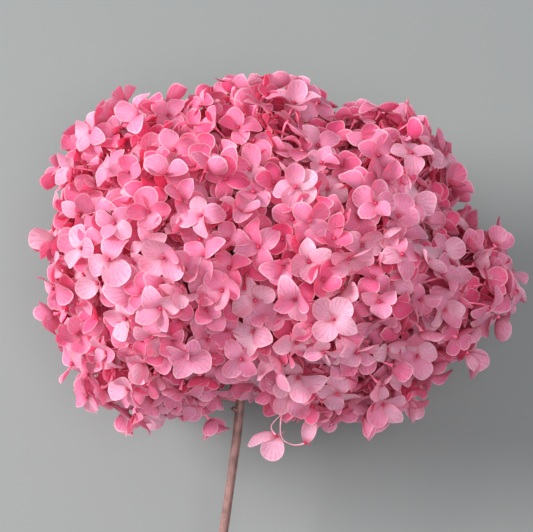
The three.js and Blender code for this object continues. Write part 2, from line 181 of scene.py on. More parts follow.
# Tubes grown along drawn lines: stem, rays, branches and pedicels all use this tree
stalk_tree, stalk_in, stalk_out = group_tree(
    "stalk along a line",
    "GeometryNodeTree",
    [
        ("Lines", "NodeSocketGeometry", None),
        ("Sides", "NodeSocketInt", 8),
        ("Step", "NodeSocketFloat", 0.002),
        ("Wrinkle", "NodeSocketFloat", 0.0),
        ("Bark", "NodeSocketMaterial", None),
    ],
    [("Stalks", "NodeSocketGeometry", None)],
)
stalk_curve = put(stalk_tree, "GeometryNodeMeshToCurve", {"Mesh": stalk_in["Lines"]}).outputs[0]
stalk_smooth = put(
    stalk_tree, "GeometryNodeCurveSplineType", {"Curve": stalk_curve}, spline_type="CATMULL_ROM"
).outputs[0]
stalk_steps = {"Curve": stalk_smooth, "Length": stalk_in["Step"]}
stalk_even = put(stalk_tree, "GeometryNodeResampleCurve", stalk_steps, mode="LENGTH").outputs[0]
stalk_round = put(
    stalk_tree, "GeometryNodeCurvePrimitiveCircle", {"Resolution": stalk_in["Sides"], "Radius": 1.0}
).outputs[0]
stalk_tube = put(
    stalk_tree,
    "GeometryNodeCurveToMesh",
    {
        "Curve": stalk_even,
        "Profile Curve": stalk_round,
        "Scale": attribute(stalk_tree, "thickness"),
        "Fill Caps": True,
    },
).outputs[0]
stalk_place = put(stalk_tree, "GeometryNodeInputPosition").outputs[0]
stalk_along = {0: stalk_place, 1: (1.0, 0.12, 0.6)}
stalk_stretch = put(stalk_tree, "ShaderNodeVectorMath", stalk_along, operation="MULTIPLY").outputs[0]
stalk_noise = calc(stalk_tree, "SUBTRACT", grain(stalk_tree, stalk_stretch, 900.0, 2.0), 0.5)
stalk_depth = {
    0: put(stalk_tree, "GeometryNodeInputNormal").outputs[0],
    "Scale": calc(stalk_tree, "MULTIPLY", stalk_noise, stalk_in["Wrinkle"]),
}
stalk_push = put(stalk_tree, "ShaderNodeVectorMath", stalk_depth, operation="SCALE").outputs[0]
stalk_moved = {"Geometry": stalk_tube, "Offset": stalk_push}
stalk_rough = put(stalk_tree, "GeometryNodeSetPosition", stalk_moved).outputs[0]
stalk_shade = put(stalk_tree, "GeometryNodeSetShadeSmooth", {"Geometry": stalk_rough}).outputs[0]
stalk_real = put(stalk_tree, "GeometryNodeRealizeInstances", {"Geometry": stalk_shade}).outputs[0]
stalk_done = put(
    stalk_tree, "GeometryNodeSetMaterial", {"Geometry": stalk_real, "Material": stalk_in["Bark"]}
).outputs[0]
stalk_tree.links.new(stalk_done, stalk_out["Stalks"])


def shown(name, mesh):
    made = bpy.data.objects.new(name, mesh)
    bpy.context.scene.collection.objects.link(made)
    return made


def grown(name, base, tree, values):
    """Runs a geometry tree on a drawn base and keeps only the finished mesh, as a new object."""
    maker = base.modifiers.new(tree.name, "NODES")
    maker.node_group = tree
    for socket in tree.interface.items_tree:
        if socket.name in values:
            maker[socket.identifier] = values[socket.name]
    depsgraph = bpy.context.evaluated_depsgraph_get()
    mesh = bpy.data.meshes.new_from_object(base.evaluated_get(depsgraph), depsgraph=depsgraph)
    bpy.data.objects.remove(base)
    mesh.name = name
    return shown(name, mesh)


def drawn_lines(name, lines):
    """A wire mesh of open lines; each point is (place, radius)."""
    mesh = bpy.data.meshes.new(name)
    points, edges, radii = [], [], []
    for line in lines:
        first = len(points)
        for place, radius in line:
            points.append(place)
            radii.append(radius)
        edges += [(i, i + 1) for i in range(first, len(points) - 1)]
    mesh.from_pydata(points, edges, [])
    mesh.attributes.new("thickness", "FLOAT", "POINT").data.foreach_set("value", radii)
    return shown(name, mesh)


def welded(node):
    """A merged copy of a fixed node's mesh."""
    made = bmesh.new()
    made.from_mesh(frame["nodes"][node].data)
    bmesh.ops.remove_doubles(made, verts=made.verts, dist=2e-6)
    return made


def middle_of(places):
    places = list(places)
    return sum(places, Vector()) / len(places)


def ring_centres(places, start, along, gap, sizes):
    """Middles of the rings of corners met one after another from start along a direction."""
    ordered = sorted(places, key=lambda p: (p - start).dot(along))
    rings, last = [], -1.0
    for place in ordered:
        reach = (place - start).dot(along)
        if reach - last > gap:
            rings.append([])
        rings[-1].append(place)
        last = reach
    return [middle_of(ring) for ring in rings if len(ring) in sizes]


def along_line(line, place):
    """The point nearest to place on a line of points."""
    spots = []
    for a, b in zip(line, line[1:]):
        share = max(0.0, min(1.0, (place - a).dot(b - a) / (b - a).length_squared))
        spots.append(a.lerp(b, share))
    return min(spots, key=lambda p: (p - place).length)


stem_cad = welded("stem")
stem_places = [v.co.copy() for v in stem_cad.verts]
stem_cad.free()
stem_foot = min(stem_places, key=lambda p: p.y)
stem_way = (max(stem_places, key=lambda p: p.y) - stem_foot).normalized()
stem_line = ring_centres(stem_places, stem_foot, stem_way, STEM_RING_GAP, (STEM_RING_SIZE,))
stem_radii = [STEM_RADIUS * (1.0 + BULGE * math.sin(2.3 * i)) for i in range(len(stem_line))]
stem_lines = [list(zip(stem_line, stem_radii))]
stub_places = [p for p in stem_places if (p - along_line(stem_line, p)).length > OFF_STEM]
for side in (-1, 1):
    stub = [p for p in stub_places if (p - along_line(stem_line, p)).x * side > 0]
    stub.sort(key=lambda p: (p - along_line(stem_line, p)).length)
    stub_end = middle_of(stub[-3:])
    stub_start = along_line(stem_line, stub_end)
    stub_way = ((stub_end - stub_start).normalized() + stem_way * STUB_LEAN).normalized()
    spots = [stub_start + stub_way * STUB_REACH * share for share in (0.2, 0.8, 1.0)]
    stem_lines.append(list(zip(spots, STUB_RADII)))
stem = grown(
    "stem_shoot",
    drawn_lines("stem line", stem_lines),
    stalk_tree,
    {"Sides": STEM_SIDES, "Step": STEM_STEP, "Wrinkle": BARK_WRINKLE, "Bark": stem_bark},
)
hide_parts("stem")
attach(stem, "root")

# ------------------------------------------------------------------------------------------------
# Rays
# Opposite pairs of stalks that leave the top of the stem and carry the head. They grew on the stem,
# with the same thin bark, redder from the dye, and taper towards their ends.

RAY_COUNT = 10
RAY_THICK = 0.0015
RAY_THIN = 0.0010
RAY_RING_GAP = 0.003
RAY_WRINKLE = 0.00012

ray_bark = bark_material(
    "ray bark", (0.62, 0.18, 0.24, 1), (0.40, 0.09, 0.13, 1), (0.16, 0.03, 0.05, 1), 1.4, 0.68
)
stem_tip = stem_line[-1]
ray_lines = {}
for number in range(1, RAY_COUNT + 1):
    node = "ray_%02d" % number
    cad = welded(node)
    places = [v.co.copy() for v in cad.verts]
    cad.free()
    inner = min(places, key=lambda p: (p - along_line(stem_line, p)).length)
    outer = max(places, key=lambda p: (p - inner).length)
    line = ring_centres(places, inner, (outer - inner).normalized(), RAY_RING_GAP, range(3, 12))
    line[0] = along_line(stem_line, line[0])
    ray_lines[node] = line
    radii = [RAY_THICK + (RAY_THIN - RAY_THICK) * i / (len(line) - 1) for i in range(len(line))]
    ray = grown(
        node + "_bark",
        drawn_lines(node, [list(zip(line, radii))]),
        stalk_tree,
        {"Sides": 10, "Step": 0.0025, "Wrinkle": RAY_WRINKLE, "Bark": ray_bark},
    )
    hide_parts(node)
    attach(ray, "root")

# ------------------------------------------------------------------------------------------------
# Pedicels and side branches
# Each cluster of florets hangs on one side branch that leaves a ray and divides into thin pedicels,
# one behind every floret. They grew as one with it, and flare a little where the sepals begin.

BRANCH_THICK = 0.00088
PEDICEL_THICK = 0.00048
CALYX_WIDE = 0.0011
HUB_WIDE = 0.0030
NECK_BACK = 0.00125
NECK_LONG = 0.0032
LEAN_BACK = 0.0022
PEDICEL_WRINKLE = 0.00008
LEAST_SEPAL = 0.0022

pedicel_skin = bark_material(
    "pedicel skin", (0.94, 0.26, 0.42, 1), (0.84, 0.14, 0.28, 1), (0.60, 0.06, 0.14, 1), 2.0, 0.60
)


def read_florets(cad):
    """Florets of a merged cluster: eye, facing, foot and, per sepal, its shoulders and its tip."""
    found, used = [], set()
    for vert in cad.verts:
        if len(vert.link_faces) not in (12, 16, 20):
            continue
        if min(edge.calc_length() for edge in vert.link_edges) < LEAST_SEPAL:
            continue
        follow = {}
        for face in vert.link_faces:
            for loop in face.loops:
                if loop.vert is vert:
                    follow[loop.link_loop_next.vert] = loop.link_loop_prev.vert
        rim = [next(iter(follow))]
        while follow.get(rim[-1]) not in (None, rim[0]):
            rim.append(follow[rim[-1]])
        if len(rim) != len(vert.link_faces):
            continue
        eye = vert.co.copy()
        reach = [(v.co - eye).length for v in rim]
        first = min(range(4), key=lambda s: sum(reach[s::4]))
        rim = rim[first:] + rim[:first]
        ring = {e.other_vert(v) for v in rim for e in v.link_edges} - set(rim) - {vert}
        feet = {e.other_vert(v) for v in ring for e in v.link_edges} - set(rim) - ring
        facing = Vector()
        for a, b in zip(rim, rim[1:] + rim[:1]):
            facing += (a.co - eye).cross(b.co - eye)
        sepals = [tuple(v.co.copy() for v in rim[i + 1 : i + 4]) for i in range(0, len(rim), 4)]
        foot = middle_of(v.co for v in feet) if feet else eye - facing.normalized() * 0.012
        found.append({"eye": eye, "facing": facing.normalized(), "foot": foot, "sepals": sepals})
        used.update({vert}, rim, ring, feet)
    return found, [v.co.copy() for v in cad.verts if v not in used]


def middling(values):
    ordered = sorted(values)
    return ordered[len(ordered) // 2]


def read_cluster(node):
    """A cluster's florets, the point where its pedicels meet, and the line of its side branch."""
    cad = welded(node)
    florets, rest = read_florets(cad)
    cad.free()
    meets = []
    for floret in florets:
        neck = floret["eye"] - floret["facing"] * NECK_BACK
        meets.append(floret["foot"] + (floret["foot"] - neck).normalized() * HUB_WIDE)
    hub = Vector([middling([p[axis] for p in meets]) for axis in range(3)])
    rest.sort(key=lambda p: (p - hub).length)
    end, bend = middle_of(rest[-4:]), middle_of(rest[-8:-4])
    nearest = min((along_line(line, end) for line in ray_lines.values()), key=lambda p: (p - end).length)
    return {"florets": florets, "hub": hub, "branch": [nearest, end, bend, hub]}


def pedicel_line(floret, hub):
    """A pedicel that leaves straight behind the floret and bends over to the hub."""
    eye, facing = floret["eye"], floret["facing"]
    neck = eye - facing * NECK_LONG
    lean = neck.lerp(hub, 0.38) - facing * LEAN_BACK
    return [
        (eye - facing * 0.0002, CALYX_WIDE),
        (eye - facing * 0.0012, CALYX_WIDE * 0.72),
        (neck, PEDICEL_THICK),
        (lean, PEDICEL_THICK * 0.92),
        (neck.lerp(hub, 0.72), PEDICEL_THICK),
        (hub, PEDICEL_THICK * 1.5),
    ]


CLUSTER_COUNT = 44
clusters = {}
for number in range(1, CLUSTER_COUNT + 1):
    node = "cyme_%02d" % number
    clusters[node] = read_cluster(node)

# Smaller, younger florets fill what the outer ones leave open, in four layers one behind another:
# each layer is (least depth, most depth, room to keep between eyes)
INNER_LAYERS = [
    (0.0002, 0.0035, 0.0082),
    (0.0035, 0.0080, 0.0080),
    (0.0080, 0.0130, 0.0082),
    (0.0130, 0.0190, 0.0088),
]
INNER_TRIES = 14
INNER_LONG = (0.0076, 0.0094)
INNER_TILT = 0.6
INNER_REACH = 0.027
TABLE_ROOM = 0.003
# Where two more droop out of the opening beside the stem, measured from the stem's tip
DROOPING = [(-0.0148, -0.0225, -0.0079), (-0.0215, -0.0150, -0.0040)]
rng = random.Random(7)
outer = [(node, floret) for node, cluster in clusters.items() for floret in cluster["florets"]]
near = kdtree.KDTree(len(outer))
for i, (node, floret) in enumerate(outer):
    near.insert(floret["eye"], i)
near.balance()


def turned_about(way, angle):
    """A direction square to way, turned about it by an angle."""
    side = way.orthogonal().normalized()
    side.rotate(Matrix.Rotation(angle, 3, way))
    return side


def young_floret(eye, facing, foot, layer):
    """A four-sepal floret of the inner layers, turned and tilted at random."""
    side = turned_about(facing, rng.uniform(0, 2 * math.pi))
    tilt = Matrix.Rotation(rng.uniform(-INNER_TILT, INNER_TILT), 3, side)
    facing = (tilt @ facing).normalized()
    across = facing.cross(side).normalized()
    sepals = []
    for quarter in range(4):
        turn = quarter * math.pi / 2 + rng.uniform(-0.1, 0.1)
        long = rng.uniform(*INNER_LONG)
        way = side * math.cos(turn) + across * math.sin(turn)
        wide = (across * math.cos(turn) - side * math.sin(turn)) * long * 0.46
        middle = eye + way * long * 0.65
        tip = eye + way * long + facing * rng.uniform(-0.001, 0.002)
        sepals.append((middle - wide, tip, middle + wide))
    return {"eye": eye, "facing": facing, "foot": foot, "sepals": sepals, "layer": layer}


eyes = [tuple(floret["eye"]) for node, floret in outer]
for depth, (shallow, deep, room) in enumerate(INNER_LAYERS):
    for node, floret in outer:
        hub = clusters[node]["hub"]
        for attempt in range(INNER_TRIES):
            side = turned_about(floret["facing"], rng.uniform(0, 2 * math.pi))
            eye = floret["eye"] + side * rng.uniform(room, room * 1.7)
            around = [outer[k][1] for place, k, gap in near.find_n(eye, 4)]
            facing = sum((other["facing"] for other in around), Vector()).normalized()
            proud = sum((eye - other["eye"]).dot(facing) for other in around) / len(around)
            eye -= facing * (proud + rng.uniform(shallow, deep))
            if near.find_n(eye, 3)[2][2] > INNER_REACH or eye.z < TABLE_ROOM:
                continue
            if np.linalg.norm(np.array(eyes) - np.array(eye), axis=1).min() < room:
                continue
            eyes.append(tuple(eye))
            clusters[node]["florets"].append(young_floret(eye, facing, eye.lerp(hub, 0.8), depth + 1))

for offset in DROOPING:
    eye = stem_tip + Vector(offset)
    node = min(clusters, key=lambda name: (clusters[name]["hub"] - eye).length)
    hub = clusters[node]["hub"]
    facing = ((eye - hub).normalized() + Vector((0, -0.8, 0))).normalized()
    clusters[node]["florets"].append(young_floret(eye, facing, eye.lerp(hub, 0.8), 1))

for node, cluster in clusters.items():
    radii = [BRANCH_THICK * 1.15, BRANCH_THICK, BRANCH_THICK, BRANCH_THICK * 1.3]
    lines = [list(zip(cluster["branch"], radii))]
    lines += [pedicel_line(floret, cluster["hub"]) for floret in cluster["florets"]]
    cluster["stalks"] = grown(
        node + "_stalks",
        drawn_lines(node, lines),
        stalk_tree,
        {"Sides": 6, "Step": 0.0018, "Wrinkle": PEDICEL_WRINKLE, "Bark": pedicel_skin},
    )
    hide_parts(node)
    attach(cluster["stalks"], "root")

# ------------------------------------------------------------------------------------------------
# Florets
# Papery sepals, dyed pink and kept soft with glycerine, four to a floret round a small closed bud.
# Each grew from the top of its pedicel: thin, cupped and waved, pale at the rim and red at the eye.

SEPAL_THICK = 0.012
SEPAL_ROWS = 6
SEPAL_COLUMNS = 6
GROWN_TO = (0.74, 0.88)
BUD_WIDE = (0.0014, 0.0019)
TABLE_SOFT = 0.0012

# Breadth, cup across, fold along the midrib, rise, droop of the tip, wave of the rim, twist, point
SEPAL_SHAPES = [
    (0.90, 0.45, 0.02, 0.14, 0.12, 0.022, 0.14, 0.04),
    (0.97, 0.25, 0.08, 0.04, -0.18, 0.036, -0.22, 0.02),
    (0.80, 0.70, 0.00, 0.20, 0.30, 0.018, 0.10, 0.08),
    (0.94, 0.15, 0.12, -0.02, 0.08, 0.042, 0.28, 0.02),
    (0.86, -0.30, 0.10, 0.16, 0.40, 0.032, -0.16, 0.06),
    (1.00, 0.36, 0.03, 0.02, -0.26, 0.040, 0.08, 0.00),
    (0.76, 0.85, 0.06, 0.08, -0.16, 0.018, -0.30, 0.09),
    (0.92, 0.08, 0.14, 0.18, 0.46, 0.046, 0.20, 0.03),
    (0.95, 0.55, 0.01, -0.08, -0.34, 0.030, -0.10, 0.02),
    (0.82, -0.15, 0.13, 0.10, 0.14, 0.048, 0.34, 0.07),
]


def sepal_shape(name, breadth, cup, fold, rise, droop, wave, twist, point, phase):
    """One sepal as a thin closed shape, 1 long from the claw at the origin along +X, facing +Z."""
    places, flat = [], []
    for layer in (1, -1):
        for row in range(SEPAL_ROWS + 1):
            for column in range(SEPAL_COLUMNS + 1):
                u, v = 2 * row / SEPAL_ROWS - 1, 2 * column / SEPAL_COLUMNS - 1
                dx, dy = u * math.sqrt(1 - v * v / 2), v * math.sqrt(1 - u * u / 2)
                reach = math.hypot(dx, dy)
                t = (1 + dx) / 2
                x = t + point * max(0.0, dx) ** 6 * math.exp(-((dy / 0.25) ** 2))
                y = dy * 0.5 * breadth * (0.86 + 0.20 * t)
                angle = math.atan2(dy, dx)
                ripple = math.sin(3 * angle + phase) + 0.25 * math.sin(5 * angle - 2 * phase)
                ripple *= wave * reach**3
                z = cup * y * y * 2.0 * (0.4 + t) + fold * abs(y) + rise * t * (1 - t) * 2 - droop * t**3
                z += ripple * min(1.0, t * 2.5) + twist * y * t
                thick = SEPAL_THICK * (1 - reach**4) * layer
                places.append((x, y, z + thick))
                flat.append((t, 0.5 + dy / 2))
    per_row, per_layer = SEPAL_COLUMNS + 1, (SEPAL_COLUMNS + 1) * (SEPAL_ROWS + 1)

    def on_rim(row, column):
        return row in (0, SEPAL_ROWS) or column in (0, SEPAL_COLUMNS)

    def corner(row, column, layer):
        own = row * per_row + column
        return own if layer == 0 or on_rim(row, column) else own + per_layer

    quads = []
    for row in range(SEPAL_ROWS):
        for column in range(SEPAL_COLUMNS):
            ring = [(row, column), (row + 1, column), (row + 1, column + 1), (row, column + 1)]
            quads.append([corner(r, c, 0) for r, c in ring])
            quads.append([corner(r, c, 1) for r, c in reversed(ring)])
    kept = sorted({i for quad in quads for i in quad})
    place_of = {old: new for new, old in enumerate(kept)}
    mesh = bpy.data.meshes.new(name)
    mesh.from_pydata([places[i] for i in kept], [], [[place_of[i] for i in quad] for quad in quads])
    uv = mesh.uv_layers.new(name="sepal")
    for loop in mesh.loops:
        uv.data[loop.index].uv = flat[kept[loop.vertex_index]]
    rim = {place_of[r * per_row + c] for r in range(SEPAL_ROWS + 1) for c in range(per_row) if on_rim(r, c)}
    sharp = mesh.attributes.new("sharp_edge", "BOOLEAN", "EDGE")
    for edge in mesh.edges:
        sharp.data[edge.index].value = edge.vertices[0] in rim and edge.vertices[1] in rim
    return mesh


def bud_shape(name):
    """The small closed bud in the middle of a floret, 1 across."""
    made = bmesh.new()
    bmesh.ops.create_uvsphere(made, u_segments=8, v_segments=5, radius=0.5)
    for vert in made.verts:
        lobe = 1 + 0.12 * math.cos(4 * math.atan2(vert.co.y, vert.co.x))
        vert.co = Vector((vert.co.x * lobe, vert.co.y * lobe, vert.co.z * 0.85 + 0.2))
    mesh = bpy.data.meshes.new(name)
    made.to_mesh(mesh)
    made.free()
    mesh.uv_layers.new(name="sepal")
    return mesh


shape_box = bpy.data.collections.new("floret shapes")
shape_rng = random.Random(3)
for i, values in enumerate(SEPAL_SHAPES):
    mesh = sepal_shape("sepal %02d" % i, *values, shape_rng.uniform(0, 6.28))
    shape_box.objects.link(bpy.data.objects.new("shape %02d" % i, mesh))
BUD = len(SEPAL_SHAPES)
shape_box.objects.link(bpy.data.objects.new("shape %02d" % BUD, bud_shape("bud")))

# Veins of a sepal, read from its own flat map: darker lines that fan out from the claw
vein_group, vein_in, vein_out = group_tree(
    "sepal veins",
    "ShaderNodeTree",
    [("Veins", "NodeSocketFloat", 9.0)],
    [
        ("Vein", "NodeSocketFloat", None),
        ("Rim", "NodeSocketFloat", None),
        ("Claw", "NodeSocketFloat", None),
        ("Height", "NodeSocketFloat", None),
    ],
)
vein_map = put(vein_group, "ShaderNodeUVMap", uv_map="sepal").outputs[0]
vein_xy = put(vein_group, "ShaderNodeSeparateXYZ", {0: vein_map}).outputs
vein_place = put(vein_group, "ShaderNodeTexCoord").outputs["Object"]
vein_bend = calc(vein_group, "SUBTRACT", grain(vein_group, vein_place, 260.0, 2.0), 0.5)
vein_side = calc(vein_group, "SUBTRACT", vein_xy["Y"], 0.5)
vein_turn = calc(vein_group, "ARCTAN2", vein_side, calc(vein_group, "ADD", vein_xy["X"], 0.06))
vein_fan = calc(vein_group, "ADD", calc(vein_group, "MULTIPLY", vein_turn, vein_in["Veins"]), vein_bend)
vein_near = calc(vein_group, "PINGPONG", vein_fan, 0.5)
vein_faint = rising(vein_group, grain(vein_group, vein_place, 480.0, 1.0), 0.28, 0.54)
vein_sharp = calc(vein_group, "SUBTRACT", 1.0, rising(vein_group, vein_near, 0.01, 0.12))
vein_line = calc(vein_group, "MULTIPLY", vein_sharp, vein_faint)
vein_net = put(
    vein_group,
    "ShaderNodeTexVoronoi",
    {"Vector": vein_place, "Scale": 900.0},
    feature="DISTANCE_TO_EDGE",
).outputs["Distance"]
vein_mesh = calc(vein_group, "SUBTRACT", 1.0, rising(vein_group, vein_net, 0.0, 0.12))
vein_mask = calc(vein_group, "MAXIMUM", vein_line, calc(vein_group, "MULTIPLY", vein_mesh, 0.35))
vein_middle = {0: vein_map, 1: (0.5, 0.5, 0.0)}
vein_out_from = put(vein_group, "ShaderNodeVectorMath", vein_middle, operation="DISTANCE").outputs["Value"]
vein_claw = calc(vein_group, "SUBTRACT", 1.0, rising(vein_group, vein_xy["X"], 0.02, 0.30))
vein_group.links.new(vein_mask, vein_out["Vein"])
vein_group.links.new(rising(vein_group, vein_out_from, 0.43, 0.485), vein_out["Rim"])
vein_group.links.new(vein_claw, vein_out["Claw"])
vein_group.links.new(
    calc(vein_group, "ADD", vein_mask, grain(vein_group, vein_place, 420.0, 3.0)), vein_out["Height"]
)

PETAL_FADED = (0.96, 0.73, 0.89, 1)
PETAL_PINK = (0.95, 0.42, 0.68, 1)
PETAL_DEEP = (0.97, 0.14, 0.38, 1)
PETAL_PALE = (0.98, 0.84, 0.92, 1)
PETAL_RED = (0.72, 0.05, 0.16, 1)
PETAL_VEIN = (0.62, 0.12, 0.34, 1)
PETAL_LIT_THROUGH = (1.0, 0.34, 0.50, 1)
PETAL_THINNESS = 0.56

petal, petal_tree, petal_output = new_material("dyed petal")
petal_veins = put(petal_tree, "ShaderNodeGroup", node_tree=vein_group)
petal_veins.inputs["Veins"].default_value = 4.4
petal_tint_and_painted_light = put(petal_tree, "ShaderNodeAttribute", attribute_name="tint_and_painted_light").outputs["Fac"]
petal_place = put(petal_tree, "ShaderNodeTexCoord").outputs["Object"]
petal_blotch = calc(petal_tree, "SUBTRACT", grain(petal_tree, petal_place, 90.0, 3.0), 0.5)
petal_shift = calc(petal_tree, "ADD", petal_tint_and_painted_light, calc(petal_tree, "MULTIPLY", petal_blotch, 0.8))
# The tint holds each floret's random tone plus painted light (paler near the stem and on the hanging
# florets) and painted shade (deeper in the inner layers).
petal_colour = blended(petal_tree, rising(petal_tree, petal_shift, -0.1, 0.5), PETAL_FADED, PETAL_PINK)
petal_colour = blended(petal_tree, rising(petal_tree, petal_shift, 0.4, 1.1), petal_colour, PETAL_DEEP)
petal_colour = blended(
    petal_tree, calc(petal_tree, "MULTIPLY", petal_veins.outputs["Vein"], 0.55), petal_colour, PETAL_VEIN
)
petal_colour = blended(
    petal_tree, calc(petal_tree, "MULTIPLY", petal_veins.outputs["Rim"], 0.70), petal_colour, PETAL_PALE
)
petal_colour = blended(
    petal_tree, calc(petal_tree, "MULTIPLY", petal_veins.outputs["Claw"], 0.70), petal_colour, PETAL_RED
)
petal_relief = {"Height": petal_veins.outputs["Height"], "Strength": 0.35, "Distance": 0.0003}
petal_bump = put(petal_tree, "ShaderNodeBump", petal_relief).outputs[0]
petal_skin = {"Base Color": petal_colour, "Normal": petal_bump}
petal_surface = put(petal_tree, "ShaderNodeBsdfPrincipled", petal_skin)
petal_surface.inputs["Roughness"].default_value = 0.46
petal_surface.inputs["Specular IOR Level"].default_value = 0.65
petal_surface.inputs["Sheen Weight"].default_value = 0.2
petal_surface.inputs["Sheen Roughness"].default_value = 0.5
petal_surface.inputs["Sheen Tint"].default_value = (1.0, 0.82, 0.90, 1)
petal_through = blended(petal_tree, 1.0, petal_colour, PETAL_LIT_THROUGH, "MULTIPLY")
petal_glow = put(petal_tree, "ShaderNodeBsdfTranslucent", {"Color": petal_through, "Normal": petal_bump})
petal_layers = {0: PETAL_THINNESS, 1: petal_surface.outputs[0], 2: petal_glow.outputs[0]}
petal_mixed = put(petal_tree, "ShaderNodeMixShader", petal_layers)
petal_tree.links.new(petal_mixed.outputs[0], petal_output.inputs["Surface"])

bud_skin, bud_tree, bud_output = new_material("bud skin")
bud_place = put(bud_tree, "ShaderNodeTexCoord").outputs["Object"]
bud_colour = blended(
    bud_tree,
    rising(bud_tree, grain(bud_tree, bud_place, 700.0), 0.35, 0.65),
    (0.62, 0.035, 0.12, 1),
    (0.36, 0.012, 0.05, 1),
)
bud_surface = put(bud_tree, "ShaderNodeBsdfPrincipled", {"Base Color": bud_colour})
bud_surface.inputs["Roughness"].default_value = 0.5
bud_tree.links.new(bud_surface.outputs[0], bud_output.inputs["Surface"])

# Sets a shape from the box on every drawn point, turned and sized by the point's own values
floret_tree, floret_in, floret_out = group_tree(
    "sepals on points",
    "GeometryNodeTree",
    [
        ("Points", "NodeSocketGeometry", None),
        ("Shapes", "NodeSocketCollection", None),
        ("Bud", "NodeSocketFloat", 10.0),
        ("Petal", "NodeSocketMaterial", None),
        ("Bud Skin", "NodeSocketMaterial", None),
    ],
    [("Florets", "NodeSocketGeometry", None)],
)
floret_shapes = put(
    floret_tree,
    "GeometryNodeCollectionInfo",
    {"Collection": floret_in["Shapes"], "Separate Children": True, "Reset Children": True},
).outputs[0]
floret_shape = attribute(floret_tree, "shape", "INT")
floret_set = put(
    floret_tree,
    "GeometryNodeInstanceOnPoints",
    {
        "Points": floret_in["Points"],
        "Instance": floret_shapes,
        "Pick Instance": True,
        "Instance Index": floret_shape,
        "Rotation": attribute(floret_tree, "turn", "FLOAT_VECTOR"),
        "Scale": attribute(floret_tree, "size", "FLOAT_VECTOR"),
    },
).outputs[0]
floret_real = put(floret_tree, "GeometryNodeRealizeInstances", {"Geometry": floret_set}).outputs[0]
floret_smooth = put(floret_tree, "GeometryNodeSetShadeSmooth", {"Geometry": floret_real}).outputs[0]
floret_petal = put(
    floret_tree, "GeometryNodeSetMaterial", {"Geometry": floret_smooth, "Material": floret_in["Petal"]}
).outputs[0]
floret_last = calc(floret_tree, "SUBTRACT", floret_in["Bud"], 0.5)
floret_is_bud = calc(floret_tree, "GREATER_THAN", floret_shape, floret_last)
floret_bud = put(
    floret_tree,
    "GeometryNodeSetMaterial",
    {"Geometry": floret_petal, "Selection": floret_is_bud, "Material": floret_in["Bud Skin"]},
).outputs[0]
floret_tree.links.new(floret_bud, floret_out["Florets"])


# Painted light and shade: florets nearest the stem are painted paler as lit, inner layers painted deeper as
# shade
PAINTED_LIGHT_FROM = 0.085
PAINTED_LIGHT_OVER = 0.05
PAINTED_LIGHT_PALING = 0.24
LEAST_TONE = 0.20
TONE_SPREAD = 0.5
PAINTED_SHADE_PER_LAYER = 0.42
MOST_PAINTED_SHADE = 0.85
SEPAL_TONE_SPREAD = 0.2
# How far florets close, and how much florets and their sepals are turned at random, in radians
CLOSING = (0.22, 0.32)
NOD = 0.26
YAW = 0.10
PITCH = 0.16
ROLL = 0.30


def floret_points(florets, rng):
    """Places, turns, sizes, shapes and tints of every sepal and bud of some florets, the tints with painted
    light and painted shade.
    """
    rows = []
    for floret in florets:
        eye, facing = floret["eye"], floret["facing"]
        layer = floret.get("layer", 0)
        # Painted light: florets towards the stem end of the head are painted paler, as if lit.
        painted_light_paling = PAINTED_LIGHT_PALING * max(0.0, min(1.0, (PAINTED_LIGHT_FROM - eye.y) / PAINTED_LIGHT_OVER))
        # Painted shade: florets of the inner layers are painted deeper, as shade in the recesses of the
        # head.
        painted_depth_shade = min(MOST_PAINTED_SHADE, PAINTED_SHADE_PER_LAYER * layer)
        tone = LEAST_TONE + rng.random() * TONE_SPREAD + painted_depth_shade - painted_light_paling
        closing = rng.gauss(*CLOSING)
        grown_to = 1.0 if layer else rng.uniform(*GROWN_TO)
        axis = turned_about(facing, rng.uniform(0, 2 * math.pi))
        nod = Matrix.Rotation(rng.gauss(0, NOD), 3, axis)
        for low, tip, high in floret["sepals"]:
            out = tip - eye
            across = (high - low).normalized()
            front = out.normalized().cross(across).normalized()
            across = front.cross(out).normalized()
            frame_of = Matrix((out.normalized(), across, front)).transposed()
            yaw = Matrix.Rotation(rng.gauss(0, YAW), 3, "Z")
            pitch = Matrix.Rotation(rng.gauss(-closing, PITCH), 3, "Y")
            roll = Matrix.Rotation(rng.gauss(0, ROLL), 3, "X")
            turn = (nod @ frame_of @ yaw @ pitch @ roll).to_euler()
            long = out.length * rng.uniform(0.96, 1.06) * grown_to
            broad = long * rng.uniform(0.94, 1.10)
            own_tone = tone + rng.uniform(-SEPAL_TONE_SPREAD, SEPAL_TONE_SPREAD)
            tint_and_painted_light = min(1.0, max(0.0, own_tone))
            rows.append((eye - facing * 0.0001, turn, (long, broad, long), rng.randrange(BUD), tint_and_painted_light))
        turn = (nod @ facing).to_track_quat("Z", "Y").to_euler()
        wide = rng.uniform(*BUD_WIDE)
        rows.append((eye + facing * 0.0003, turn, (wide, wide, wide), BUD, tone))
    return rows


def drawn_points(name, rows):
    """A mesh of loose points; each row is (place, turn, size, shape, tint)."""
    mesh = bpy.data.meshes.new(name)
    mesh.from_pydata([row[0] for row in rows], [], [])
    for key, data_type, field, column in (
        ("turn", "FLOAT_VECTOR", "vector", 1),
        ("size", "FLOAT_VECTOR", "vector", 2),
        ("shape", "INT", "value", 3),
        ("tint_and_painted_light", "FLOAT", "value", 4),
    ):
        values = np.array([row[column] for row in rows], dtype=int if data_type == "INT" else float)
        mesh.attributes.new(key, data_type, "POINT").data.foreach_set(field, values.ravel())
    return shown(name, mesh)


